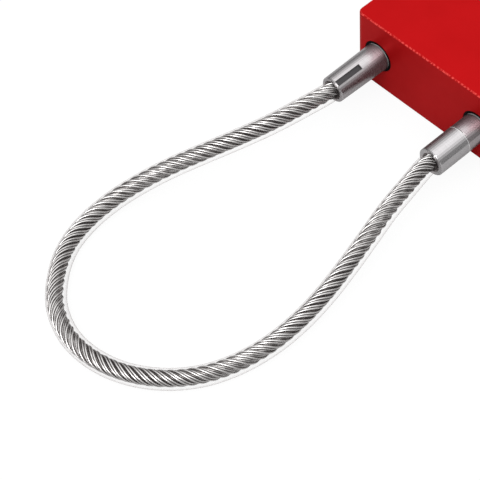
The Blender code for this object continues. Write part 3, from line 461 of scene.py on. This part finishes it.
# ------------------------------------------------------------------ cable
def make_cable():
    """A clear coat, a core and six strands along the same path from ferrule to ferrule. The coat and the
    core have no twist to follow, so every second point is enough for them."""
    steps = [CABLE_SEAT / MM, 0, -CABLE_LEAD / MM]
    route = [Vector(HEEL_MOUTH) + Vector((0, step, 0)) for step in steps]
    route += [(x, HEEL_MOUTH[1] - ahead, up) for x, ahead, up in CABLE_ROUTE]
    route += [Vector(TOE_MOUTH) + Vector((0, step, 0)) for step in reversed(steps)]
    path = smooth_route(route, RING_STEP)
    across, other = carried_frames(path)
    coat = sweep("cable_coat", path[::2], across[::2], other[::2], circle(COAT_RADIUS, COAT_SIDES),
                 clear_coat())
    steel = rope_steel()
    axis = path + np.array(ROPE_SHIFT) * ends_fade(path)[:, None]
    core = sweep("rope_core", axis[::2], across[::2], other[::2], circle(CORE_RADIUS, CORE_SIDES), steel)
    strand_radius = ROPE_RADIUS / 3     # a strand, the core and a strand lie across the rope
    turn = 2 * math.pi * np.arange(len(path)) * RING_STEP / STRAND_LAY
    strands = []
    for k in range(STRANDS):
        angle = turn + 2 * math.pi * k / STRANDS
        radial = np.cos(angle)[:, None] * across + np.sin(angle)[:, None] * other
        centre = axis + radial * 2 * strand_radius
        ahead = unit(np.gradient(centre, axis=0))
        radial = unit(radial - ahead * np.sum(radial * ahead, axis=1, keepdims=True))
        side = np.cross(ahead, radial)
        outline, shade = strand_section(strand_radius)
        strands.append(sweep(f"rope_strand_{k + 1}", centre, radial, side, outline, steel, shade))
    for piece in [coat, core, *strands]:
        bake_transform(piece)
    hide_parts("cable")


def ends_fade(path):
    """1 along the loop and 0 in the two mouths, where the rope is held central."""
    run = np.arange(len(path)) * RING_STEP
    near = np.minimum(run, run[-1] - run)
    return np.clip(near / SHIFT_START, 0, 1)


def strand_section(radius):
    """The outline of a strand of round wires about a centre wire, turned as it goes along, and a painted
    shade for each of its points:
    how far it stands out, from 0 in the grooves to 1 on the crests, dimmed to 0 on the side towards the core."""
    wire = radius / 3       # a wire, the middle wire and a wire lie across the strand
    angle = np.linspace(0, 2 * math.pi, WIRES * WIRE_POINTS, endpoint=False)
    off = (angle + math.pi / WIRES) % (2 * math.pi / WIRES) - math.pi / WIRES
    reach = 2 * wire * np.cos(off) + np.sqrt(np.maximum(wire ** 2 - (2 * wire * np.sin(off)) ** 2, 0))
    lobe = (reach - reach.min()) / (reach.max() - reach.min())

    def turned(i):
        return angle + WIRE_TWIST * i * RING_STEP

    def outline(i):
        return np.stack([np.cos(turned(i)) * reach, np.sin(turned(i)) * reach], axis=1)

    # Painted shade: dark in the grooves and towards the core, lit on the crests that face outwards.
    def shade(i):
        return lobe * np.clip((np.cos(turned(i)) + 0.15) / 0.8, 0, 1)
    return outline, shade


# ------------------------------------------------------------------ reset spring
def make_reset_spring(material):
    """The coil between the reset button's flange and the shell."""
    low, high = (Vector(corner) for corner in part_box("reset_spring"))
    middle = (low + high) / 2
    radius = (high.x - low.x) / 2 - SPRING_WIRE
    steps = SPRING_TURNS * SPRING_STEPS
    angle = 2 * math.pi * np.arange(steps + 1) / SPRING_STEPS
    centre = np.stack([middle.x + radius * np.cos(angle), middle.y + radius * np.sin(angle),
                       np.linspace(low.z + SPRING_WIRE, high.z - SPRING_WIRE, steps + 1)], axis=1)
    across, other = carried_frames(centre)
    coil = sweep("reset_coil", centre, across, other, circle(SPRING_WIRE, SPRING_SIDES), material)
    joint = next(j for j in frame["joints"] if j["name"] == "reset_push")
    travel = max(joint["range_m"])
    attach(coil, "root")
    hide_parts("reset_spring")
    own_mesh(coil)


# ------------------------------------------------------------------ dials' numbers
def make_numbers(material):
    """Raised numbers round each dial, in one piece for each dial."""
    for i in range(3):
        low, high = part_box(f"dial_{i + 1}")
        middle = (Vector(low) + Vector(high)) / 2
        radius = (high[2] - low[2]) / 2
        shape = bmesh.new()
        for digit in range(DIGITS):
            add_digit(shape, str(digit), middle, radius, 2 * math.pi * digit / DIGITS)
        mesh = bpy.data.meshes.new(f"dial_numbers_{i + 1}")
        shape.to_mesh(mesh)
        shape.free()
        mesh.materials.append(material)
        thing = bpy.data.objects.new(f"dial_numbers_{i + 1}", mesh)
        bpy.context.scene.collection.objects.link(thing)
        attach(thing, f"dial_{i + 1}_body")


def make_index_marks(material):
    """A painted arrow at each end of the row of dials, pointing at the numbers to read."""
    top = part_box("body_shell")[1][2]
    for name, dial, side in (("index_mark_left", "dial_1", -1), ("index_mark_right", "dial_3", 1)):
        low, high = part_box(dial)
        edge = low[0] if side < 0 else high[0]
        tip, back = edge + side * MARK_GAP, edge + side * (MARK_GAP + MARK_SIZE)
        middle = (low[1] + high[1]) / 2
        outline = [(tip, middle), (back, middle + MARK_SIZE / 2), (back, middle - MARK_SIZE / 2)]
        verts = [(x, y, top + z) for z in (-MARK_SINK, MARK_RISE) for x, y in outline]
        faces = [(0, 2, 1), (3, 4, 5), (0, 1, 4, 3), (1, 2, 5, 4), (2, 0, 3, 5)]
        thing = add_mesh(name, verts, faces if side < 0 else [f[::-1] for f in faces], material)
        thing.data.shade_flat()
        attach(thing, "root")


def add_digit(shape, text, middle, radius, angle):
    """Adds a digit, bent round the dial and centred at the angle from the top, to the mesh in shape."""
    curve = bpy.data.curves.new("digit", "FONT")
    curve.body = text
    curve.size = DIGIT_SIZE
    curve.align_x = "CENTER"
    curve.align_y = "CENTER"
    curve.extrude = DIGIT_RISE
    curve.offset = DIGIT_WEIGHT
    glyph = bpy.data.objects.new("digit", curve)
    bpy.context.scene.collection.objects.link(glyph)
    bpy.context.view_layer.update()
    mesh = bpy.data.meshes.new_from_object(glyph)
    xs = [v.co.x for v in mesh.vertices]
    ys = [v.co.y for v in mesh.vertices]
    cx, cy = (min(xs) + max(xs)) / 2, (min(ys) + max(ys)) / 2
    for v in mesh.vertices:
        reach = radius + v.co.z - DIGIT_SINK
        turn = angle + (v.co.y - cy) / radius
        v.co = (middle.x - (v.co.x - cx), middle.y - reach * math.sin(turn),
                middle.z + reach * math.cos(turn))
    shape.from_mesh(mesh)
    bpy.data.objects.remove(glyph)
    bpy.data.curves.remove(curve)
    bpy.data.meshes.remove(mesh)


# ------------------------------------------------------------------ stage
def make_floor():
    """White to the camera, with a faint shadow, and a duller white to what it lights."""
    m = Nodes("floor_white").set(Base_Color=(0.45, 0.45, 0.45), Roughness=0.9, Specular_IOR_Level=0.0)
    seen = m.node("ShaderNodeBsdfDiffuse", Color=(0.12, 0.12, 0.12))
    glow = m.node("ShaderNodeEmission", Color=(1.0, 1.0, 1.0), Strength=0.90)
    both = m.node("ShaderNodeAddShader")
    m.tree.links.new(seen.outputs[0], both.inputs[0])
    m.tree.links.new(glow.outputs[0], both.inputs[1])
    path = m.tree.nodes.new("ShaderNodeLightPath")
    mix = m.node("ShaderNodeMixShader", Fac=path.outputs["Is Camera Ray"])
    m.tree.links.new(m.shader.outputs[0], mix.inputs[1])
    m.tree.links.new(both.outputs[0], mix.inputs[2])
    m.tree.links.new(mix.outputs[0], m.tree.nodes["Material Output"].inputs["Surface"])
    far = FLOOR_REACH
    floor = add_mesh("floor", [(-far, -far, 0), (far, -far, 0), (far, far, 0), (-far, far, 0)],
                     [(0, 1, 2, 3)], m.material)


def make_lights():
    """A soft sky, darker towards the floor, and one area light in front."""
    world = bpy.data.worlds.new("studio")
    bpy.context.scene.world = world
    world.use_nodes = True
    tree = world.node_tree
    coords = tree.nodes.new("ShaderNodeTexCoord")
    parts = tree.nodes.new("ShaderNodeSeparateXYZ")
    tree.links.new(coords.outputs["Generated"], parts.inputs[0])
    ramp = tree.nodes.new("ShaderNodeValToRGB")
    spots = ramp.color_ramp.elements
    while len(spots) < len(SKY_GREYS):
        spots.new(0.5)
    for spot, (place, grey) in zip(spots, SKY_GREYS):
        spot.position = place
        spot.color = (grey, grey, grey, 1)
    tree.links.new(parts.outputs["Z"], ramp.inputs[0])
    back = tree.nodes["Background"]
    tree.links.new(ramp.outputs[0], back.inputs["Color"])
    back.inputs["Strength"].default_value = SKY_STRENGTH
    data = bpy.data.lights.new("front", "AREA")
    data.shape = "RECTANGLE"
    data.size, data.size_y = LIGHT_SIZE, LIGHT_SIZE
    data.energy = LIGHT_POWER
    light = bpy.data.objects.new("front", data)
    turn = (LIGHT_AIM - LIGHT_SPOT).to_track_quat("-Z", "Y").to_matrix().to_4x4()
    light.matrix_world = Matrix.Translation(LIGHT_SPOT) @ turn
    bpy.context.scene.collection.objects.link(light)
    bpy.context.scene.view_settings.view_transform = "Standard"


# ------------------------------------------------------------------ the CAD pieces' finishes
def finish_cad(spring):
    """Gives each CAD piece that stays its own material."""
    red = red_paint("red_paint", (0.61, 0.0075, 0.0095), (0.57, 0.0065, 0.008))
    base = red_paint("red_base", (0.45, 0.006, 0.008), (0.40, 0.005, 0.007))
    heel_axis = (HEEL_MOUTH[0] * MM, HEEL_MOUTH[2] * MM)
    toe_axis = (TOE_MOUTH[0] * MM, TOE_MOUTH[2] * MM)
    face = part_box("body_shell")[0][1]
    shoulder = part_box("toe_ferrule")[1][1]
    heel = ferrule_steel("heel_steel", (0.72, 0.69, 0.70), 0.27, heel_axis, SLOT_FLOOR,
                         (face - RIM_WIDTH, face))
    toe = ferrule_steel("toe_steel", (0.74, 0.72, 0.73), 0.26, toe_axis, BORE_RADIUS,
                        (shoulder - RIM_WIDTH, shoulder + RIM_WIDTH))
    # The plug's rose tint is a painted reflection of the red body beside it.
    plug = ferrule_steel("plug_steel", (0.62, 0.56, 0.575), 0.27, toe_axis, BORE_RADIUS,
                         (face - RIM_WIDTH, face))
    plain = turned_steel("plain_steel", (0.55, 0.55, 0.56), 0.32, (1, 0, 0))
    brass = turned_steel("brass", (0.72, 0.52, 0.22), 0.28)
    black = plastic("black_plastic", (0.010, 0.010, 0.011), 0.5)
    ring = plastic("ring_black", (0.0025, 0.0025, 0.0025), 0.6, level=0.06)
    dial = plastic("dial_black", (0.014, 0.014, 0.015), 0.35, 5000, 0.15)
    looks = {
        "body_shell": red, "base_plate": base, "heel_ferrule": heel, "toe_ferrule": toe, "toe_plug": plug,
        "heel_bush": ring, "toe_bush": ring, "dial_cradle": black, "thumb_slider": black,
        "heel_pin": plain, "latch_plate": plain, "spindle": plain, "spindle_screw": plain,
        "slider_screw": plain, "latch_detent": spring, "cam_clip": spring,
        "key_barrel": brass, "key_plug": plain, "key_cam": plain, "reset_button": brass,
    }
    for i in range(1, 4):
        looks[f"dial_{i}"] = dial
        looks[f"code_sleeve_{i}"] = brass
        looks[f"dial_detent_{i}"] = spring
    for i in range(1, 5):
        looks[f"cover_screw_{i}"] = plain
    for name, look in looks.items():
        thing = frame["nodes"][name]
        if not thing.material_slots:
            thing.data.materials.append(look)
        for place in thing.material_slots:
            place.material = look


make_camera()
make_cable()
SPRING = turned_steel("spring_steel", (0.42, 0.43, 0.46), 0.3, (0, 0, 1))
make_reset_spring(SPRING)
finish_cad(SPRING)
WHITE = paint("number_white", (0.86, 0.86, 0.84))
make_numbers(WHITE)
make_index_marks(WHITE)
make_floor()
make_lights()
